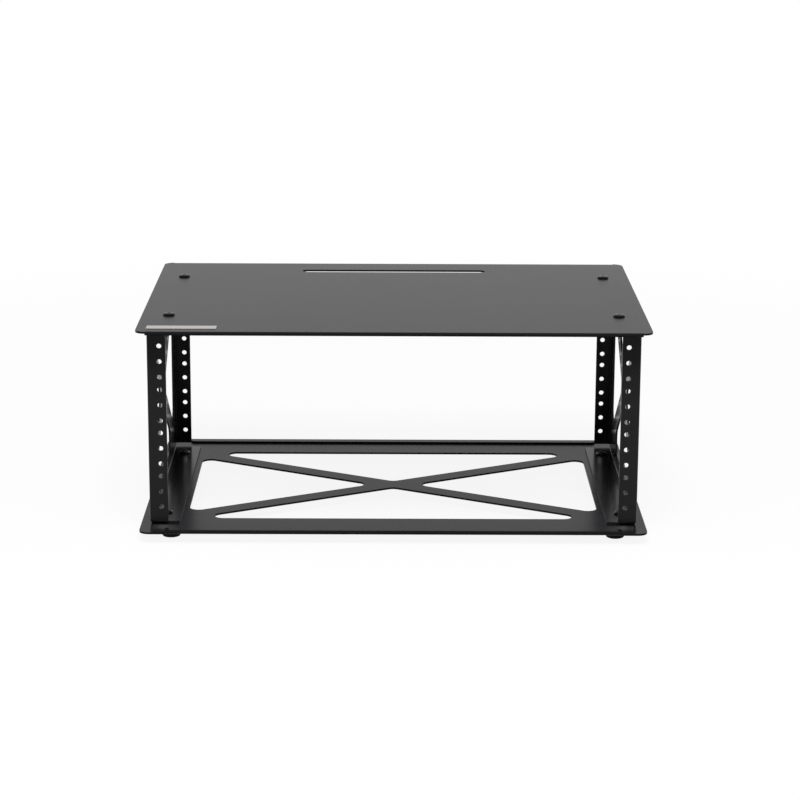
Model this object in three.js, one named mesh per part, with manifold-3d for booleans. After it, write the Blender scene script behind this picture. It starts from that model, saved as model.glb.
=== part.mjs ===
// Studio rack stand: an open desk-top frame for four spaces of 19 inch rack gear.
// Two bent side frames carry the rack rails and an X brace. A plate with hemmed edges is
// screwed on top of them and another one below, and four rubber feet carry the stand.
// Millimetres: X runs to the right, Y to the rear and Z up. The origin lies on the desk,
// under the middle of the stand.

import * as THREE from "three";
import { mergeVertices } from "three/addons/utils/BufferGeometryUtils.js";
import Module from "manifold-3d";

const wasm = await Module();
wasm.setup();

// Rack opening: the height of one rack space, their number, the way between the rails, and
// what the side frames add below the lowest space and above the highest one
const spaceHeight = 44.45;
const spaceCount = 4;
const bayWidth = 452.1;
const rackLowerMargin = 13;
const rackUpperMargin = 11.7;

// Rack holes, the same three in every space, measured up from the space's lower edge
const rackHoleDiameter = 5;
const rackHoleEdge = 6.5;
const rackHoleShares = [1 / 7, 1 / 2, 6 / 7];

// Side frames, each one sheet with four edges bent inwards
const frameSheet = 2;
const frameDepth = 305;
const frameBendRadius = 3;
const railWidth = 18.85;
const railRelief = 2.5;
const flangeWidth = 29.5;
const flangeEndInset = 8;

// Openings of a side frame's X brace
const uprightStrip = 24;
const crossStrip = 17.5;
const sideBraceWidth = 20;
const sideCornerRadius = 13.5;

// Plates, whose front and rear edges are folded flat on themselves
const plateSheet = 2;
const plateSideOverhang = 9.1;
const plateEndOverhang = 25.5;
const plateCornerRadius = 10;
const hemReach = 12;
const hemSlant = 3.5;
const topHemInset = 10;
const bottomHemInset = 26;

// Openings of the bottom plate's X brace
const flangeMargin = 5.9;
const plateEndStrip = 50.5;
const plateBraceWidth = 20;
const plateOpeningRadius = 9.5;

// Cable slot of the top plate, near its rear edge
const slotLength = 200;
const slotWidth = 13;
const slotRearInset = 44;

// Button head screws, with the head's underside at local height zero
const screwDiameter = 5;
const screwLength = 8;
const screwTipChamfer = 0.5;
const headDiameter = 12;
const headHeight = 2.4;
const headRim = 0.7;
const headFlatDiameter = 5.5;
const socketAcrossFlats = 3.2;
const socketDepth = 1.5;

// Press nuts, with the face that meets the sheet at local height zero
const nutDiameter = 9.5;
const nutHeight = 4;
const nutChamfer = 0.6;
const collarDiameter = 7;

// Screw places, measured from the outer faces of the side frames
const topScrewSideInset = 18.2;
const topScrewEndInset = 53.5;
const bottomScrewSideInset = 14;
const bottomScrewEndInset = 37.5;

// Rubber feet, measured from the edges of the bottom plate
const footDiameter = 19.2;
const footBaseDiameter = 18.2;
const footHeight = 10;
const footEdgeRadius = 1;
const footInset = 30.3;

// Bare badge at the top plate's front left corner
const badgeLength = 69;
const badgeWidth = 13.5;
const badgeThickness = 0.5;
const badgeCornerRadius = 0.8;
const badgeSideInset = 10;
const badgeFrontInset = 13.5;

// Gap between pieces where one sits through another, and the overrun of every cut
const fitGap = 0.3;
const cutOverrun = 1;

// Steps of the round shapes
const arcSteps = 4;
const holeSteps = 16;
const noseSteps = 16;
const turnedSteps = 20;
const domeSteps = 4;
const socketSides = 6;

// Sizes and heights that follow from the values above
const frameWidth = bayWidth + 2 * railWidth;
const frameHeight = rackLowerMargin + spaceCount * spaceHeight + rackUpperMargin;
const plateWidth = frameWidth + 2 * plateSideOverhang;
const plateDepth = frameDepth + 2 * plateEndOverhang;
const frameBottom = footHeight + plateSheet;
const frameTop = frameBottom + frameHeight;
const frameMiddle = (frameBottom + frameTop) / 2;
const screwHoleRadius = screwDiameter / 2 + fitGap;
const collarHoleRadius = collarDiameter / 2 + fitGap;

const topScrewX = frameWidth / 2 - topScrewSideInset;
const topScrewY = frameDepth / 2 - topScrewEndInset;
const bottomScrewX = frameWidth / 2 - bottomScrewSideInset;
const bottomScrewY = frameDepth / 2 - bottomScrewEndInset;

// Directions that an outline can be extruded in. Along X an outline is drawn in Y and Z,
// and along Y it is drawn in Z and X.
const axisX = new THREE.Vector3(1, 0, 0);
const axisY = new THREE.Vector3(0, 1, 0);
const axisZ = new THREE.Vector3(0, 0, 1);
const alongX = new THREE.Matrix4().makeBasis(axisY, axisZ, axisX);
const alongY = new THREE.Matrix4().makeBasis(axisZ, axisX, axisY);

// Materials
const blackCoat = { color: 0x1c1d1f, roughness: 0.42, metalness: 0 };
const blackScrew = { color: 0x141516, roughness: 0.35, metalness: 0.6 };
const zincNut = { color: 0xa9abae, roughness: 0.4, metalness: 0.9 };
const blackRubber = { color: 0x0c0c0d, roughness: 0.8, metalness: 0 };
const silverBadge = { color: 0xcfcbc6, roughness: 0.45, metalness: 0.5 };

// Solids

// A closed geometry as a solid that can be joined and cut.
function solidOf(geometry) {
  const bare = geometry.clone();
  bare.deleteAttribute("normal");
  bare.deleteAttribute("uv");
  const merged = mergeVertices(bare);
  return new wasm.Manifold(new wasm.Mesh({
    numProp: 3,
    vertProperties: merged.attributes.position.array,
    triVerts: new Uint32Array(merged.index.array),
  }));
}

// A solid as a geometry that a mesh can show.
function geometryOf(solid) {
  const mesh = solid.getMesh();
  const geometry = new THREE.BufferGeometry();
  geometry.setAttribute("position", new THREE.BufferAttribute(mesh.vertProperties, 3));
  geometry.setIndex(new THREE.BufferAttribute(mesh.triVerts, 1));
  geometry.computeVertexNormals();
  return geometry;
}

// Draws a closed outline through corners of the form [x, y, radius] on a shape or path.
// A corner with radius zero stays sharp.
function drawOutline(path, corners) {
  corners.forEach(([x, y, radius], index) => {
    const corner = new THREE.Vector2(x, y);
    const before = corners[(index + corners.length - 1) % corners.length];
    const after = corners[(index + 1) % corners.length];
    const back = new THREE.Vector2(before[0], before[1]).sub(corner).normalize();
    const ahead = new THREE.Vector2(after[0], after[1]).sub(corner).normalize();
    const halfAngle = Math.acos(THREE.MathUtils.clamp(back.dot(ahead), -1, 1)) / 2;
    const setback = radius / Math.tan(halfAngle);
    const start = corner.clone().addScaledVector(back, setback);
    if (index === 0) {
      path.moveTo(start.x, start.y);
    } else {
      path.lineTo(start.x, start.y);
    }
    if (radius > 0) {
      const end = corner.clone().addScaledVector(ahead, setback);
      const inward = back.clone().add(ahead).normalize();
      const centre = corner.clone().addScaledVector(inward, radius / Math.sin(halfAngle));
      const from = start.sub(centre).angle();
      const to = end.sub(centre).angle();
      path.absarc(centre.x, centre.y, radius, from, to, back.cross(ahead) > 0);
    }
  });
  path.closePath();
  return path;
}

// A prism from an outline, between two heights along its own direction.
function prism(shape, from, to, direction) {
  const geometry = new THREE.ExtrudeGeometry(shape, {
    depth: to - from,
    bevelEnabled: false,
    curveSegments: arcSteps,
  });
  geometry.translate(0, 0, from);
  if (direction) {
    geometry.applyMatrix4(direction);
  }
  return geometry;
}

// A round cutter that stands on the Z axis, or lies along the Y axis.
function roundCutter(radius, x, y, z, reach, lying) {
  const geometry = new THREE.CylinderGeometry(radius, radius, reach, holeSteps);
  if (!lying) {
    geometry.rotateX(Math.PI / 2);
  }
  geometry.translate(x, y, z);
  return solidOf(geometry);
}

// The four triangles that an X brace leaves in a rectangle, as lists of corners. The arms
// cross at the middle, and lie at the given angle to the first axis.
function braceOpenings(middle, halfLength, halfHeight, armWidth, angle, radius) {
  const slope = Math.tan(angle);
  const sideApex = armWidth / 2 / Math.sin(angle);
  const endApex = armWidth / 2 / Math.cos(angle);
  const sideSpread = (halfLength - sideApex) * slope;
  const endSpread = (halfHeight - endApex) / slope;
  const openings = [];
  for (const way of [-1, 1]) {
    openings.push([
      [way * sideApex, middle, radius],
      [way * halfLength, middle + sideSpread, radius],
      [way * halfLength, middle - sideSpread, radius],
    ]);
    openings.push([
      [0, middle + way * endApex, radius],
      [endSpread, middle + way * halfHeight, radius],
      [-endSpread, middle + way * halfHeight, radius],
    ]);
  }
  return openings;
}

// The angle at which an arm's edge runs from the second axis into the rectangle's corner.
function cornerAngle(halfLength, halfHeight, armWidth) {
  const halfDiagonal = Math.hypot(halfLength, halfHeight);
  return Math.acos(armWidth / 2 / halfDiagonal) - Math.atan2(halfLength, halfHeight);
}

// Side frames

// Outline of a channel: a web with one leg bent inwards at each end. The legs run across,
// from the edge to the outer face, and the web runs along, from one end to the other.
function channelCorners(edge, outerFace, start, end) {
  const inwards = Math.sign(edge - outerFace);
  const innerFace = outerFace + inwards * frameSheet;
  const innerRadius = frameBendRadius - frameSheet;
  return [
    [edge, start, 0],
    [outerFace, start, frameBendRadius],
    [outerFace, end, frameBendRadius],
    [edge, end, 0],
    [edge, end - frameSheet, 0],
    [innerFace, end - frameSheet, innerRadius],
    [innerFace, start + frameSheet, innerRadius],
    [edge, start + frameSheet, 0],
  ];
}

// One side frame. The side is -1 for the left one and 1 for the right one.
function sideFrame(side) {
  const outerFace = side * frameWidth / 2;
  const railEdge = side * bayWidth / 2;
  const flangeEdge = side * (frameWidth / 2 - flangeWidth);
  const railInset = frameSheet + railRelief;

  const railCorners = channelCorners(railEdge, outerFace, -frameDepth / 2, frameDepth / 2);
  const railShape = drawOutline(new THREE.Shape(), railCorners);
  const rails = solidOf(prism(railShape, frameBottom + railInset, frameTop - railInset));

  const flangeCorners = channelCorners(flangeEdge, outerFace, frameBottom, frameTop);
  const turned = flangeCorners.map(([across, along, radius]) => [along, across, radius]);
  const flangeShape = drawOutline(new THREE.Shape(), turned);
  const flangeEnd = frameDepth / 2 - flangeEndInset;
  const flanges = solidOf(prism(flangeShape, -flangeEnd, flangeEnd, alongY));

  let frame = rails.add(flanges);

  // X brace
  const openings = braceOpenings(
    frameMiddle,
    frameDepth / 2 - uprightStrip,
    frameHeight / 2 - crossStrip,
    sideBraceWidth,
    Math.atan(frameHeight / frameDepth),
    sideCornerRadius,
  );
  const cutFrom = Math.min(outerFace, outerFace - side * frameSheet) - cutOverrun;
  const cutTo = Math.max(outerFace, outerFace - side * frameSheet) + cutOverrun;
  for (const corners of openings) {
    const opening = drawOutline(new THREE.Shape(), corners);
    frame = frame.subtract(solidOf(prism(opening, cutFrom, cutTo, alongX)));
  }

  // Rack holes in the front and rear rails
  const holeX = side * (bayWidth / 2 + rackHoleEdge);
  const rackBottom = frameBottom + rackLowerMargin;
  for (const way of [-1, 1]) {
    const railY = way * (frameDepth / 2 - frameSheet / 2);
    for (let space = 0; space < spaceCount; space += 1) {
      for (const share of rackHoleShares) {
        const holeZ = rackBottom + (space + share) * spaceHeight;
        const reach = frameSheet + 2 * cutOverrun;
        const cutter = roundCutter(rackHoleDiameter / 2, holeX, railY, holeZ, reach, true);
        frame = frame.subtract(cutter);
      }
    }
  }

  // Screw holes: a nut's collar sits in the top flange, and a screw passes the bottom one
  const reach = frameSheet + 2 * cutOverrun;
  for (const way of [-1, 1]) {
    const topX = side * topScrewX;
    const topY = way * topScrewY;
    const topZ = frameTop - frameSheet / 2;
    frame = frame.subtract(roundCutter(collarHoleRadius, topX, topY, topZ, reach));
    const bottomX = side * bottomScrewX;
    const bottomY = way * bottomScrewY;
    const bottomZ = frameBottom + frameSheet / 2;
    frame = frame.subtract(roundCutter(screwHoleRadius, bottomX, bottomY, bottomZ, reach));
  }
  return geometryOf(frame);
}

// Plates

// A plate's outline. The folds take the place of the sheet's edge between the hems' ends,
// and leave a single sheet at the four corners.
function plateShape(hemInset) {
  const halfWidth = plateWidth / 2;
  const halfDepth = plateDepth / 2;
  const hemEnd = halfWidth - hemInset;
  const foldLine = halfDepth - plateSheet;
  return drawOutline(new THREE.Shape(), [
    [-halfWidth, -halfDepth, plateCornerRadius],
    [-hemEnd, -halfDepth, 0],
    [-hemEnd, -foldLine, 0],
    [hemEnd, -foldLine, 0],
    [hemEnd, -halfDepth, 0],
    [halfWidth, -halfDepth, plateCornerRadius],
    [halfWidth, halfDepth, plateCornerRadius],
    [hemEnd, halfDepth, 0],
    [hemEnd, foldLine, 0],
    [-hemEnd, foldLine, 0],
    [-hemEnd, halfDepth, 0],
    [-halfWidth, halfDepth, plateCornerRadius],
  ]);
}

// A round hole in a plate's outline.
function addRoundHole(shape, x, y, radius) {
  shape.holes.push(new THREE.Path().absarc(x, y, radius, 0, 2 * Math.PI));
}

// Folds both hems onto a plate. The side is 1 for hems on top of it and -1 for hems below.
function addHems(plate, bottom, hemInset, side) {
  const hemEnd = plateWidth / 2 - hemInset;
  const foldLine = plateDepth / 2 - plateSheet;
  const cutEdge = plateDepth / 2 - hemReach;
  const meeting = side > 0 ? bottom + plateSheet : bottom;
  const layerFrom = Math.min(meeting, meeting + side * plateSheet);
  const layerTo = Math.max(meeting, meeting + side * plateSheet);
  let hemmed = plate;
  for (const way of [-1, 1]) {
    const layer = drawOutline(new THREE.Shape(), [
      [-hemEnd, way * foldLine, 0],
      [hemEnd, way * foldLine, 0],
      [hemEnd, way * (cutEdge + hemSlant), 0],
      [hemEnd - hemSlant, way * cutEdge, 0],
      [-hemEnd + hemSlant, way * cutEdge, 0],
      [-hemEnd, way * (cutEdge + hemSlant), 0],
    ]);
    const nose = new THREE.CylinderGeometry(plateSheet, plateSheet, 2 * hemEnd, noseSteps);
    nose.rotateZ(Math.PI / 2);
    nose.translate(0, way * foldLine, meeting);
    hemmed = hemmed.add(solidOf(prism(layer, layerFrom, layerTo))).add(solidOf(nose));
  }
  return hemmed;
}

// The top plate, with its cable slot and four screw holes.
function topPlate() {
  const shape = plateShape(topHemInset);
  const slotY = plateDepth / 2 - slotRearInset;
  const slotRadius = slotWidth / 2;
  shape.holes.push(drawOutline(new THREE.Path(), [
    [-slotLength / 2, slotY - slotRadius, slotRadius],
    [slotLength / 2, slotY - slotRadius, slotRadius],
    [slotLength / 2, slotY + slotRadius, slotRadius],
    [-slotLength / 2, slotY + slotRadius, slotRadius],
  ]));
  for (const x of [-topScrewX, topScrewX]) {
    for (const y of [-topScrewY, topScrewY]) {
      addRoundHole(shape, x, y, screwHoleRadius);
    }
  }
  const plate = solidOf(prism(shape, frameTop, frameTop + plateSheet));
  return geometryOf(addHems(plate, frameTop, topHemInset, -1));
}

// The bottom plate, with its X brace and four holes for the nuts' collars.
function bottomPlate() {
  const shape = plateShape(bottomHemInset);
  const halfLength = frameWidth / 2 - flangeWidth - flangeMargin;
  const halfHeight = plateDepth / 2 - plateEndStrip;
  const openings = braceOpenings(
    0,
    halfLength,
    halfHeight,
    plateBraceWidth,
    cornerAngle(halfLength, halfHeight, plateBraceWidth),
    plateOpeningRadius,
  );
  for (const corners of openings) {
    shape.holes.push(drawOutline(new THREE.Path(), corners));
  }
  for (const x of [-bottomScrewX, bottomScrewX]) {
    for (const y of [-bottomScrewY, bottomScrewY]) {
      addRoundHole(shape, x, y, collarHoleRadius);
    }
  }
  const plate = solidOf(prism(shape, footHeight, footHeight + plateSheet));
  return geometryOf(addHems(plate, footHeight, bottomHemInset, 1));
}

// Fasteners

// A turned piece, from a profile of radius and height.
function turnedPiece(profile) {
  const points = profile.map(([radius, height]) => new THREE.Vector2(radius, height));
  return new THREE.LatheGeometry(points, turnedSteps).rotateX(Math.PI / 2);
}

// A button head screw with a hexagon socket.
function screw() {
  const shankRadius = screwDiameter / 2;
  const headRadius = headDiameter / 2;
  const flatRadius = headFlatDiameter / 2;
  const profile = [
    [0, -screwLength],
    [shankRadius - screwTipChamfer, -screwLength],
    [shankRadius, screwTipChamfer - screwLength],
    [shankRadius, 0],
    [headRadius, 0],
  ];
  for (let step = 0; step <= domeSteps; step += 1) {
    const turn = Math.PI / 2 * step / domeSteps;
    profile.push([
      flatRadius + (headRadius - flatRadius) * Math.cos(turn),
      headRim + (headHeight - headRim) * Math.sin(turn),
    ]);
  }
  profile.push([0, headHeight]);
  const socketRadius = socketAcrossFlats / 2 / Math.cos(Math.PI / socketSides);
  const socketHeight = socketDepth + cutOverrun;
  const socket = new THREE.CylinderGeometry(socketRadius, socketRadius, socketHeight, socketSides);
  socket.rotateX(Math.PI / 2);
  socket.translate(0, 0, headHeight - socketDepth + socketHeight / 2);
  return geometryOf(solidOf(turnedPiece(profile)).subtract(solidOf(socket)));
}

// A press nut under a sheet, with a collar that fills the sheet's hole.
function pressNut(sheet) {
  const boreRadius = screwDiameter / 2 + fitGap;
  const outerRadius = nutDiameter / 2;
  const collarTop = sheet - fitGap;
  return turnedPiece([
    [boreRadius, -nutHeight],
    [outerRadius - nutChamfer, -nutHeight],
    [outerRadius, nutChamfer - nutHeight],
    [outerRadius, 0],
    [collarDiameter / 2, 0],
    [collarDiameter / 2, collarTop],
    [boreRadius, collarTop],
    [boreRadius, -nutHeight],
  ]);
}

// Feet and badge

// A rubber foot, from the desk up to the bottom plate.
function foot() {
  const baseRadius = footBaseDiameter / 2;
  return turnedPiece([
    [0, 0],
    [baseRadius - footEdgeRadius, 0],
    [baseRadius - footEdgeRadius * (1 - Math.SQRT1_2), footEdgeRadius * (1 - Math.SQRT1_2)],
    [baseRadius, footEdgeRadius],
    [footDiameter / 2, footHeight],
    [0, footHeight],
  ]);
}

// The badge, a plain strip that is stuck on the top plate.
function badge() {
  const left = badgeSideInset - plateWidth / 2;
  const front = badgeFrontInset - plateDepth / 2;
  const shape = drawOutline(new THREE.Shape(), [
    [left, front, badgeCornerRadius],
    [left + badgeLength, front, badgeCornerRadius],
    [left + badgeLength, front + badgeWidth, badgeCornerRadius],
    [left, front + badgeWidth, badgeCornerRadius],
  ]);
  const from = frameTop + plateSheet;
  return prism(shape, from, from + badgeThickness);
}

// Assembly

const rackStand = new THREE.Group();

function addPiece(name, geometry, look, x = 0, y = 0, z = 0) {
  const mesh = new THREE.Mesh(geometry, new THREE.MeshStandardMaterial(look));
  mesh.name = name;
  mesh.position.set(x, y, z);
  rackStand.add(mesh);
}

addPiece("bottom_plate", bottomPlate(), blackCoat);
addPiece("left_side_frame", sideFrame(-1), blackCoat);
addPiece("right_side_frame", sideFrame(1), blackCoat);
addPiece("top_plate", topPlate(), blackCoat);
addPiece("badge", badge(), silverBadge);

const footX = plateWidth / 2 - footInset;
const footY = plateDepth / 2 - footInset;
const corners = [
  { place: "front_left", x: -1, y: -1 },
  { place: "front_right", x: 1, y: -1 },
  { place: "rear_left", x: -1, y: 1 },
  { place: "rear_right", x: 1, y: 1 },
];

for (const { place, x, y } of corners) {
  const topX = x * topScrewX;
  const topY = y * topScrewY;
  const bottomX = x * bottomScrewX;
  const bottomY = y * bottomScrewY;
  addPiece(`top_nut_${place}`, pressNut(frameSheet), zincNut, topX, topY, frameTop - frameSheet);
  addPiece(`top_screw_${place}`, screw(), blackScrew, topX, topY, frameTop + plateSheet);
  addPiece(`bottom_nut_${place}`, pressNut(plateSheet), zincNut, bottomX, bottomY, footHeight);
  addPiece(`bottom_screw_${place}`, screw(), blackScrew, bottomX, bottomY, frameBottom + frameSheet);
  addPiece(`foot_${place}`, foot(), blackRubber, x * footX, y * footY);
}

export default rackStand;
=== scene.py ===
# Studio rack stand: the looks of a desk-top frame for four units of rack gear. Two bent
# side frames stand on a braced bottom plate and carry a plain top plate. Metres, with X to
# the right, Y to the rear and Z up, and the desk at zero.

from math import cos, pi, radians, sin, sqrt

import bmesh
import bpy
from mathutils import Matrix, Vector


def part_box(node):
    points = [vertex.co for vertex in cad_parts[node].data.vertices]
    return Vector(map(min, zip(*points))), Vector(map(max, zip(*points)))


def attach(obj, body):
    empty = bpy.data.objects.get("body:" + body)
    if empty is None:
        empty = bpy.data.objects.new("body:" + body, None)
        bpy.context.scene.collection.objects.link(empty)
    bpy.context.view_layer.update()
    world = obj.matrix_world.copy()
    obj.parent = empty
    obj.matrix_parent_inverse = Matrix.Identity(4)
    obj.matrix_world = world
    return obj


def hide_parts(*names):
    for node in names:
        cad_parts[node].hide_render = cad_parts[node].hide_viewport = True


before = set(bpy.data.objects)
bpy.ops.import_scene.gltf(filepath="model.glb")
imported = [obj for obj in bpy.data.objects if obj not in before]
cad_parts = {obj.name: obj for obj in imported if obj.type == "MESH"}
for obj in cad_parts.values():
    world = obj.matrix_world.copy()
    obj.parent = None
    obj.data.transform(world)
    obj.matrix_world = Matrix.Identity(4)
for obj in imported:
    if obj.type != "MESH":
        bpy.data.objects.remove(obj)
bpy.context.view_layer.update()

scene = bpy.context.scene


# Bottom plate
# One steel sheet of 2 mm with a laser-cut X brace. Its front and rear edges are folded up
# and pressed flat, its cut edges are deburred, and it is powder coated in satin black.

def coat_grain_group():
    """The skin of a powder coat: fine orange peel, a faint cloudiness and pinhead specks."""
    group = bpy.data.node_groups.new("Powder coat grain", "ShaderNodeTree")
    sockets = group.interface
    sockets.new_socket("Coat", in_out="INPUT", socket_type="NodeSocketColor")
    sockets.new_socket("Roughness", in_out="INPUT", socket_type="NodeSocketFloat")
    sockets.new_socket("Cloudiness", in_out="INPUT", socket_type="NodeSocketFloat")
    sockets.new_socket("Peel per metre", in_out="INPUT", socket_type="NodeSocketFloat")
    sockets.new_socket("Coat", in_out="OUTPUT", socket_type="NodeSocketColor")
    sockets.new_socket("Roughness", in_out="OUTPUT", socket_type="NodeSocketFloat")
    sockets.new_socket("Height", in_out="OUTPUT", socket_type="NodeSocketFloat")
    nodes, link = group.nodes, group.links.new
    given = nodes.new("NodeGroupInput")
    result = nodes.new("NodeGroupOutput")
    place = nodes.new("ShaderNodeTexCoord")

    clouds = nodes.new("ShaderNodeTexNoise")
    clouds.inputs["Scale"].default_value = 16.0
    clouds.inputs["Detail"].default_value = 3.0
    link(place.outputs["Object"], clouds.inputs["Vector"])
    swing = nodes.new("ShaderNodeMapRange")
    swing.inputs["To Min"].default_value = -1.0
    link(clouds.outputs["Fac"], swing.inputs["Value"])
    drift = nodes.new("ShaderNodeMath")
    drift.operation = "MULTIPLY"
    link(swing.outputs["Result"], drift.inputs[0])
    link(given.outputs["Cloudiness"], drift.inputs[1])

    rough = nodes.new("ShaderNodeMath")
    rough.operation = "ADD"
    link(given.outputs["Roughness"], rough.inputs[0])
    link(drift.outputs["Value"], rough.inputs[1])
    link(rough.outputs["Value"], result.inputs["Roughness"])

    specks = nodes.new("ShaderNodeTexNoise")
    specks.inputs["Scale"].default_value = 2600.0
    link(place.outputs["Object"], specks.inputs["Vector"])
    spread = nodes.new("ShaderNodeMapRange")
    spread.inputs["To Min"].default_value = 0.82
    spread.inputs["To Max"].default_value = 1.18
    link(specks.outputs["Fac"], spread.inputs["Value"])
    tint = nodes.new("ShaderNodeVectorMath")
    tint.operation = "SCALE"
    link(given.outputs["Coat"], tint.inputs[0])
    link(spread.outputs["Result"], tint.inputs["Scale"])
    link(tint.outputs["Vector"], result.inputs["Coat"])

    peel = nodes.new("ShaderNodeTexNoise")
    peel.inputs["Detail"].default_value = 1.0
    link(place.outputs["Object"], peel.inputs["Vector"])
    link(given.outputs["Peel per metre"], peel.inputs["Scale"])
    link(peel.outputs["Fac"], result.inputs["Height"])
    return group


coat_grain = coat_grain_group()


def blank_finish(name):
    """A finish to start from: its material, its nodes, what links them, and its shader."""
    material = bpy.data.materials.new(name)
    material.use_nodes = True
    tree = material.node_tree
    return material, tree.nodes, tree.links.new, tree.nodes["Principled BSDF"]


def powder_coat(name, colour, roughness, cloudiness, specular):
    """A satin black powder coat on steel sheet."""
    material, nodes, link, shader = blank_finish(name)
    shader.inputs["Specular IOR Level"].default_value = specular
    grain = nodes.new("ShaderNodeGroup")
    grain.node_tree = coat_grain
    grain.inputs["Coat"].default_value = (*colour, 1.0)
    grain.inputs["Roughness"].default_value = roughness
    grain.inputs["Cloudiness"].default_value = cloudiness
    grain.inputs["Peel per metre"].default_value = 850.0
    bump = nodes.new("ShaderNodeBump")
    bump.inputs["Strength"].default_value = 0.12
    bump.inputs["Distance"].default_value = 0.00006
    link(grain.outputs["Coat"], shader.inputs["Base Color"])
    link(grain.outputs["Roughness"], shader.inputs["Roughness"])
    link(grain.outputs["Height"], bump.inputs["Height"])
    link(bump.outputs["Normal"], shader.inputs["Normal"])
    return material


sharp_angle = radians(50)


def finished(name, bm, material, slot, *nodes):
    """Makes a piece of a bmesh, which stands for one or more nodes of the frame."""
    mesh = bpy.data.meshes.new(name)
    bm.to_mesh(mesh)
    bm.free()
    mesh.materials.append(material)
    mesh.shade_smooth()
    mesh.set_sharp_from_angle(angle=sharp_angle)
    piece = bpy.data.objects.new(name, mesh)
    scene.collection.objects.link(piece)
    weighted = piece.modifiers.new("Flat faces stay flat", "WEIGHTED_NORMAL")
    weighted.keep_sharp = True
    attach(piece, "root")
    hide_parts(*nodes)


def deburred(node, edge):
    """A copy of a sheet piece of the frame, whose sharp edges are rounded off."""
    weld = 0.000005
    flat_angle = radians(0.5)
    bm = bmesh.new()
    bm.from_mesh(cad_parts[node].data)
    bmesh.ops.remove_doubles(bm, verts=bm.verts, dist=weld)
    bmesh.ops.dissolve_limit(bm, angle_limit=flat_angle, verts=bm.verts, edges=bm.edges)
    corners = [e for e in bm.edges if e.is_manifold and e.calc_face_angle() > sharp_angle]
    bmesh.ops.bevel(
        bm,
        geom=corners,
        offset=edge,
        offset_type="OFFSET",
        affect="EDGES",
        segments=2,
        profile=0.5,
        clamp_overlap=True,
        material=-1,
    )
    return bm


plate_edge = 0.00025
plate_black = powder_coat(
    "Plate powder coat",
    colour=(0.0105, 0.0107, 0.0127),
    roughness=0.24,
    cloudiness=0.015,
    specular=0.038,
)
finished(
    "bottom_plate_dressed",
    deburred("bottom_plate", plate_edge),
    plate_black,
    "plate_coat",
    "bottom_plate",
)


# Side frames
# Each side is one steel sheet of 2 mm: the X-braced panel with its front rail, rear rail
# and two flanges bent inwards. The twelve rack holes of a rail are punched before bending.

frame_edge = 0.0002
frame_black = powder_coat(
    "Side frame powder coat",
    colour=(0.0185, 0.0185, 0.0192),
    roughness=0.2,
    cloudiness=0.015,
    specular=0.07,
)
for side in ("left", "right"):
    finished(
        f"{side}_side_frame_dressed",
        deburred(f"{side}_side_frame", frame_edge),
        frame_black,
        "frame_coat",
        f"{side}_side_frame",
    )


# Bottom flange screws and their press nuts
# Black oxide button head screws with a hexagon socket, M5 by 8 mm, heads up. Each turns
# into a zinc-plated nut that is pressed into the bottom plate from below.

def spun(profile, steps):
    """A round shape, turned about Z from a profile of radius and height."""
    weld = 0.000002
    bm = bmesh.new()
    points = [bm.verts.new((radius, 0.0, height)) for radius, height in profile]
    edges = [bm.edges.new(pair) for pair in zip(points, points[1:])]
    bmesh.ops.spin(
        bm,
        geom=points + edges,
        axis=(0.0, 0.0, 1.0),
        cent=(0.0, 0.0, 0.0),
        angle=2 * pi,
        steps=steps,
        use_merge=True,
    )
    bmesh.ops.remove_doubles(bm, verts=bm.verts, dist=weld)
    return bm


def mottle(nodes, link, shader, mask, colours, roughness):
    """Lets a finish's colour and roughness go between two values each, as the mask does."""
    shade = nodes.new("ShaderNodeValToRGB")
    for element, colour in zip(shade.color_ramp.elements, colours):
        element.color = (*colour, 1.0)
    link(mask, shade.inputs["Fac"])
    link(shade.outputs["Color"], shader.inputs["Base Color"])
    gloss = nodes.new("ShaderNodeMapRange")
    gloss.inputs["To Min"].default_value, gloss.inputs["To Max"].default_value = roughness
    link(mask, gloss.inputs["Value"])
    link(gloss.outputs["Result"], shader.inputs["Roughness"])


def black_oxide():
    """Black oxide on steel: a thin dark film with a faint brown cloud, slightly glossy."""
    material, nodes, link, shader = blank_finish("Black oxide screw")
    shader.inputs["Specular IOR Level"].default_value = 0.12
    place = nodes.new("ShaderNodeTexCoord")
    film = nodes.new("ShaderNodeTexNoise")
    film.inputs["Scale"].default_value = 420.0
    film.inputs["Detail"].default_value = 4.0
    link(place.outputs["Object"], film.inputs["Vector"])
    mottle(
        nodes, link, shader, film.outputs["Fac"],
        colours=((0.002, 0.002, 0.0022), (0.005, 0.0048, 0.0048)),
        roughness=(0.16, 0.3),
    )
    return material


def bright_zinc():
    """Bright zinc plate: a pale blue-grey metal with fine crystals."""
    material, nodes, link, shader = blank_finish("Zinc-plated nut")
    shader.inputs["Metallic"].default_value = 1.0
    place = nodes.new("ShaderNodeTexCoord")
    crystals = nodes.new("ShaderNodeTexVoronoi")
    crystals.inputs["Scale"].default_value = 1400.0
    link(place.outputs["Object"], crystals.inputs["Vector"])
    mottle(
        nodes, link, shader, crystals.outputs["Distance"],
        colours=((0.52, 0.54, 0.57), (0.66, 0.67, 0.69)),
        roughness=(0.28, 0.4),
    )
    return material


round_steps = 48
head_radius = 0.006
head_height = 0.0024
head_rim = 0.0007
head_flat_radius = 0.00275
shank_radius = 0.0025
screw_length = 0.008
socket_across = 0.0032
socket_sides = 6
socket_depth = 0.0015
socket_break = 0.0001
dome_steps = 10
screw_black = black_oxide()
nut_zinc = bright_zinc()


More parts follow.
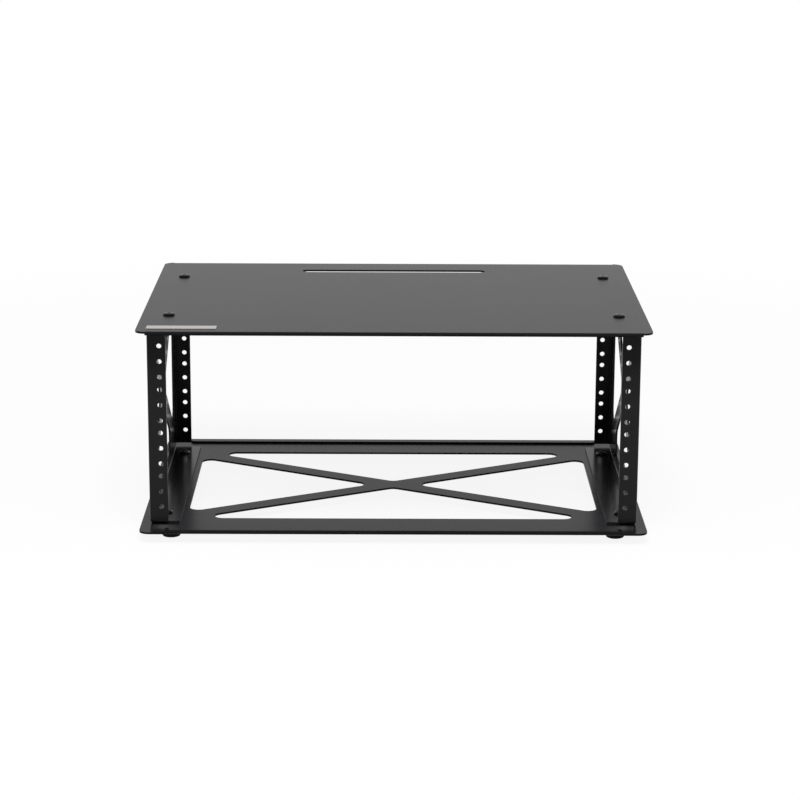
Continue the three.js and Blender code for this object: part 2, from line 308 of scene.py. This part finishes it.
def button_head_screw(node):
    """A screw on the seat of its node: a domed head, a hexagon socket and a round shank."""
    low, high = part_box(node)
    tip = 0.0005
    break_edge = 0.00012
    profile = [
        (0.0, -screw_length),
        (shank_radius - tip, -screw_length),
        (shank_radius, tip - screw_length),
        (shank_radius, 0.0),
        (head_radius - break_edge, 0.0),
        (head_radius, break_edge),
    ]
    for step in range(dome_steps + 1):
        turn = pi / 2 * step / dome_steps
        profile.append((
            head_flat_radius + (head_radius - head_flat_radius) * cos(turn),
            head_rim + (head_height - head_rim) * sin(turn),
        ))
    bm = spun(profile, round_steps)

    # The socket's mouth is a hexagon with as many vertices as the flat round it
    rim = [e for e in bm.edges if e.is_boundary]
    mouth = bmesh.ops.create_circle(
        bm,
        segments=socket_sides,
        radius=socket_across / sqrt(3),
        matrix=Matrix.Translation((0.0, 0.0, head_height)),
    )["verts"]
    sides = list({e for v in mouth for e in v.link_edges})
    bmesh.ops.subdivide_edges(bm, edges=sides, cuts=round_steps // socket_sides - 1)
    hexagon = [e for e in bm.edges if e.is_wire]
    bmesh.ops.bridge_loops(bm, edges=rim + hexagon)
    walls = bmesh.ops.extrude_edge_only(bm, edges=hexagon)["geom"]
    floor_verts = [v for v in walls if isinstance(v, bmesh.types.BMVert)]
    bmesh.ops.translate(bm, vec=(0.0, 0.0, -socket_depth), verts=floor_verts)
    floor_edges = [e for e in walls if isinstance(e, bmesh.types.BMEdge) and e.is_boundary]
    bmesh.ops.contextual_create(bm, geom=floor_edges)
    bmesh.ops.recalc_face_normals(bm, faces=bm.faces)
    bmesh.ops.bevel(
        bm,
        geom=hexagon,
        offset=socket_break,
        offset_type="OFFSET",
        affect="EDGES",
        segments=2,
        profile=0.5,
        material=-1,
    )

    middle = (low + high) / 2
    seat = (middle.x, middle.y, high.z - head_height)
    bmesh.ops.translate(bm, vec=seat, verts=bm.verts)
    finished(f"{node}_dressed", bm, screw_black, "black_screw", node)


def press_nut(node, sheet):
    """A nut under its sheet: a chamfered body, a collar in the sheet's hole and a bore."""
    low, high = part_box(node)
    body_radius = 0.00475
    body_height = 0.004
    bore_radius = 0.0028
    collar_radius = 0.0035
    chamfer = 0.0006
    lead_in = 0.0003
    collar_gap = 0.0003
    collar_top = sheet - collar_gap
    bm = spun([
        (bore_radius, lead_in - body_height),
        (bore_radius + lead_in, -body_height),
        (body_radius - chamfer, -body_height),
        (body_radius, chamfer - body_height),
        (body_radius, 0.0),
        (collar_radius, 0.0),
        (collar_radius, collar_top),
        (bore_radius, collar_top),
        (bore_radius, lead_in - body_height),
    ], round_steps)
    bmesh.ops.recalc_face_normals(bm, faces=bm.faces)
    middle = (low + high) / 2
    seat = (middle.x, middle.y, low.z + body_height)
    bmesh.ops.translate(bm, vec=seat, verts=bm.verts)
    finished(f"{node}_dressed", bm, nut_zinc, "zinc_nut", node)


corner_names = ("front_left", "front_right", "rear_left", "rear_right")
plate_sheet = 0.002
frame_sheet = 0.002
for corner in corner_names:
    press_nut(f"bottom_nut_{corner}", plate_sheet)
    button_head_screw(f"bottom_screw_{corner}")


# Top plate
# The same sheet, coat and outline as the bottom plate, without the brace. The front and
# rear edges are folded down, and a long slot near the rear edge lets cables through.

finished(
    "top_plate_dressed",
    deburred("top_plate", plate_edge),
    plate_black,
    "plate_coat",
    "top_plate",
)


# Top screws and their press nuts
# The same screws hold the top plate down. Their nuts are pressed into the side frames'
# top flanges, out of sight under the plate.

for corner in corner_names:
    press_nut(f"top_nut_{corner}", frame_sheet)
    button_head_screw(f"top_screw_{corner}")


# Badge
# A thin satin metal strip that is stuck on the top plate's front left corner. It is bare,
# with a fine brushed grain along it and a narrow rolled border.

def brushed_strip():
    """Satin metal with a warm tone and a fine grain along X."""
    material, nodes, link, shader = blank_finish("Satin badge")
    shader.inputs["Metallic"].default_value = 0.25
    place = nodes.new("ShaderNodeTexCoord")
    stretch = nodes.new("ShaderNodeMapping")
    stretch.inputs["Scale"].default_value = (60.0, 5200.0, 60.0)
    grain = nodes.new("ShaderNodeTexNoise")
    grain.inputs["Scale"].default_value = 1.0
    grain.inputs["Detail"].default_value = 3.0
    link(place.outputs["Object"], stretch.inputs["Vector"])
    link(stretch.outputs["Vector"], grain.inputs["Vector"])
    mottle(
        nodes, link, shader, grain.outputs["Fac"],
        colours=((0.362, 0.337, 0.326), (0.453, 0.422, 0.406)),
        roughness=(0.34, 0.5),
    )
    return material


badge_low, badge_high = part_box("badge")
badge_size = badge_high - badge_low
badge_corner = 0.0008
badge_corner_steps = 6
badge_border = 0.0005
badge_relief = 0.00008
bm = bmesh.new()
bmesh.ops.create_grid(bm, x_segments=1, y_segments=1, size=0.5)
bmesh.ops.scale(bm, vec=(badge_size.x, badge_size.y, 1.0), verts=bm.verts)
bmesh.ops.bevel(
    bm,
    geom=bm.verts[:],
    offset=badge_corner,
    offset_type="OFFSET",
    affect="VERTICES",
    segments=badge_corner_steps,
    profile=0.5,
    material=-1,
)
grown = bmesh.ops.extrude_face_region(bm, geom=bm.faces[:])["geom"]
lifted = [v for v in grown if isinstance(v, bmesh.types.BMVert)]
bmesh.ops.translate(bm, vec=(0.0, 0.0, badge_size.z), verts=lifted)
bmesh.ops.recalc_face_normals(bm, faces=bm.faces)
face = max(bm.faces, key=lambda f: f.calc_center_median().z)
bmesh.ops.inset_region(bm, faces=[face], thickness=badge_border)
bmesh.ops.inset_region(bm, faces=[face], thickness=badge_relief, depth=-badge_relief)
badge_middle = (badge_low + badge_high) / 2
bmesh.ops.translate(
    bm, vec=(badge_middle.x, badge_middle.y, badge_low.z), verts=bm.verts
)
finished("badge_dressed", bm, brushed_strip(), "badge_metal", "badge")


# Feet
# Four moulded rubber feet, stuck to the underside near the corners. Each has a drafted
# wall, a rounded lower edge and a shallow dish in its base.

def matt_rubber():
    """Black rubber with a dry, finely mottled skin."""
    material, nodes, link, shader = blank_finish("Rubber foot")
    shader.inputs["Specular IOR Level"].default_value = 0.15
    place = nodes.new("ShaderNodeTexCoord")
    skin = nodes.new("ShaderNodeTexNoise")
    skin.inputs["Scale"].default_value = 900.0
    skin.inputs["Detail"].default_value = 4.0
    link(place.outputs["Object"], skin.inputs["Vector"])
    mottle(
        nodes, link, shader, skin.outputs["Fac"],
        colours=((0.004, 0.004, 0.0042), (0.009, 0.009, 0.0094)),
        roughness=(0.66, 0.84),
    )
    bump = nodes.new("ShaderNodeBump")
    bump.inputs["Strength"].default_value = 0.25
    bump.inputs["Distance"].default_value = 0.0001
    link(skin.outputs["Fac"], bump.inputs["Height"])
    link(bump.outputs["Normal"], shader.inputs["Normal"])
    return material


foot_rubber = matt_rubber()
foot_base_radius = 0.0091
foot_edge = 0.001
foot_lip = 0.0003
dish_radius = 0.0055
dish_depth = 0.0006
edge_steps = 6
for corner in corner_names:
    foot_low, foot_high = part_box(f"foot_{corner}")
    foot_top_radius = (foot_high.x - foot_low.x) / 2
    foot_top = foot_high.z - foot_low.z
    profile = [(0.0, dish_depth), (dish_radius - dish_depth, dish_depth), (dish_radius, 0.0)]
    for step in range(edge_steps + 1):
        turn = pi / 2 * step / edge_steps
        profile.append((
            foot_base_radius - foot_edge * (1 - sin(turn)),
            foot_edge * (1 - cos(turn)),
        ))
    profile += [
        (foot_top_radius, foot_top - foot_lip),
        (foot_top_radius - foot_lip, foot_top),
        (0.0, foot_top),
    ]
    bm = spun(profile, round_steps)
    bmesh.ops.recalc_face_normals(bm, faces=bm.faces)
    foot_middle = (foot_low + foot_high) / 2
    bmesh.ops.translate(
        bm, vec=(foot_middle.x, foot_middle.y, foot_low.z), verts=bm.verts
    )
    finished(f"foot_{corner}_dressed", bm, foot_rubber, "black_rubber", f"foot_{corner}")


# Studio
# A plain white sweep: a wide floor and a white world, four soft lamps, and the camera
# where the photograph was taken from, 2.4 m in front of the stand, half a metre over its top.

def white_where_seen(nodes, link):
    """A factor of one for what the camera, gloss or glass sees directly."""
    path = nodes.new("ShaderNodeLightPath")
    seen = nodes.new("ShaderNodeMath")
    seen.operation = "ADD"
    seen.use_clamp = True
    link(path.outputs["Is Camera Ray"], seen.inputs[0])
    link(path.outputs["Is Glossy Ray"], seen.inputs[1])
    through = nodes.new("ShaderNodeMath")
    through.operation = "ADD"
    through.use_clamp = True
    link(seen.outputs["Value"], through.inputs[0])
    link(path.outputs["Is Transmission Ray"], through.inputs[1])
    return through.outputs["Value"]


world = bpy.data.worlds.new("White studio")
world.use_nodes = True
scene.world = world
nodes, link = world.node_tree.nodes, world.node_tree.links.new
white = (1.0, 1.0, 1.0, 1.0)
soft_sky = nodes["Background"]
soft_sky.inputs["Color"].default_value = white
soft_sky.inputs["Strength"].default_value = 0.18
backdrop = nodes.new("ShaderNodeBackground")
backdrop.inputs["Color"].default_value = white
backdrop.inputs["Strength"].default_value = 1.0
either = nodes.new("ShaderNodeMixShader")
link(white_where_seen(nodes, link), either.inputs[0])
link(soft_sky.outputs["Background"], either.inputs[1])
link(backdrop.outputs["Background"], either.inputs[2])
link(either.outputs["Shader"], nodes["World Output"].inputs["Surface"])

floor_size = 12.0
shadow_share = 0.1
shadow_full = 0.4
shadow_reach = 1.6
bm = bmesh.new()
bmesh.ops.create_grid(bm, x_segments=1, y_segments=1, size=floor_size / 2)
mesh = bpy.data.meshes.new("studio_floor")
bm.to_mesh(mesh)
bm.free()
sweep, nodes, link, painted = blank_finish("White floor")
painted.inputs["Base Color"].default_value = (0.5, 0.5, 0.5, 1.0)
painted.inputs["Roughness"].default_value = 0.9
glow = nodes.new("ShaderNodeEmission")
glow.inputs["Color"].default_value = white
shaded = nodes.new("ShaderNodeBsdfDiffuse")
shaded.inputs["Color"].default_value = white

# The floor keeps a share of the stand's shadow, in full near the stand and fading further off
floor_place = nodes.new("ShaderNodeTexCoord")
from_stand = nodes.new("ShaderNodeVectorMath")
from_stand.operation = "LENGTH"
link(floor_place.outputs["Object"], from_stand.inputs[0])
fading = nodes.new("ShaderNodeMapRange")
fading.interpolation_type = "SMOOTHSTEP"
fading.inputs["From Min"].default_value = shadow_full
fading.inputs["From Max"].default_value = shadow_reach
fading.inputs["To Min"].default_value = shadow_share
fading.inputs["To Max"].default_value = 0.0
link(from_stand.outputs["Value"], fading.inputs["Value"])
seen_floor = nodes.new("ShaderNodeMixShader")
link(fading.outputs["Result"], seen_floor.inputs[0])
either = nodes.new("ShaderNodeMixShader")
link(glow.outputs["Emission"], seen_floor.inputs[1])
link(shaded.outputs["BSDF"], seen_floor.inputs[2])
link(white_where_seen(nodes, link), either.inputs[0])
link(painted.outputs["BSDF"], either.inputs[1])
link(seen_floor.outputs["Shader"], either.inputs[2])
link(either.outputs["Shader"], nodes["Material Output"].inputs["Surface"])
mesh.materials.append(sweep)
floor = bpy.data.objects.new("studio_floor", mesh)
scene.collection.objects.link(floor)

for lamp_name, place, size, power in (
    ("lamp_over_front", (0.0, -1.1, 1.9), 0.9, 36.0),
    ("lamp_over_left", (-1.5, 0.2, 1.6), 1.4, 5.0),
    ("lamp_over_right", (1.5, 0.2, 1.6), 1.4, 5.0),
    ("lamp_behind", (0.0, 1.9, 1.6), 2.0, 3.0),
):
    light = bpy.data.lights.new(lamp_name, "AREA")
    light.shape = "SQUARE"
    light.size = size
    light.energy = power
    lamp = bpy.data.objects.new(lamp_name, light)
    lamp.location = place
    lamp.rotation_euler = (-lamp.location).to_track_quat("-Z", "Y").to_euler()
    lamp.visible_glossy = False
    scene.collection.objects.link(lamp)

sensor_millimetres = 36.0
focal_pixels = 2510.4
picture_pixels = 800
camera_place = (-0.00652, -2.57225, 0.74824)
camera_down = 0.2453
camera_right = 0.0052
camera_roll = 0.0048
camera_data = bpy.data.cameras.new("photo_camera")
camera_data.sensor_width = sensor_millimetres
camera_data.lens = sensor_millimetres * focal_pixels / picture_pixels
camera_data.clip_end = 30.0
camera = bpy.data.objects.new("photo_camera", camera_data)
scene.collection.objects.link(camera)
camera.matrix_world = (
    Matrix.Translation(camera_place)
    @ Matrix.Rotation(-camera_right, 4, "Z")
    @ Matrix.Rotation(pi / 2 - camera_down, 4, "X")
    @ Matrix.Rotation(camera_roll, 4, "Z")
)
scene.camera = camera
scene.view_settings.view_transform = "Standard"
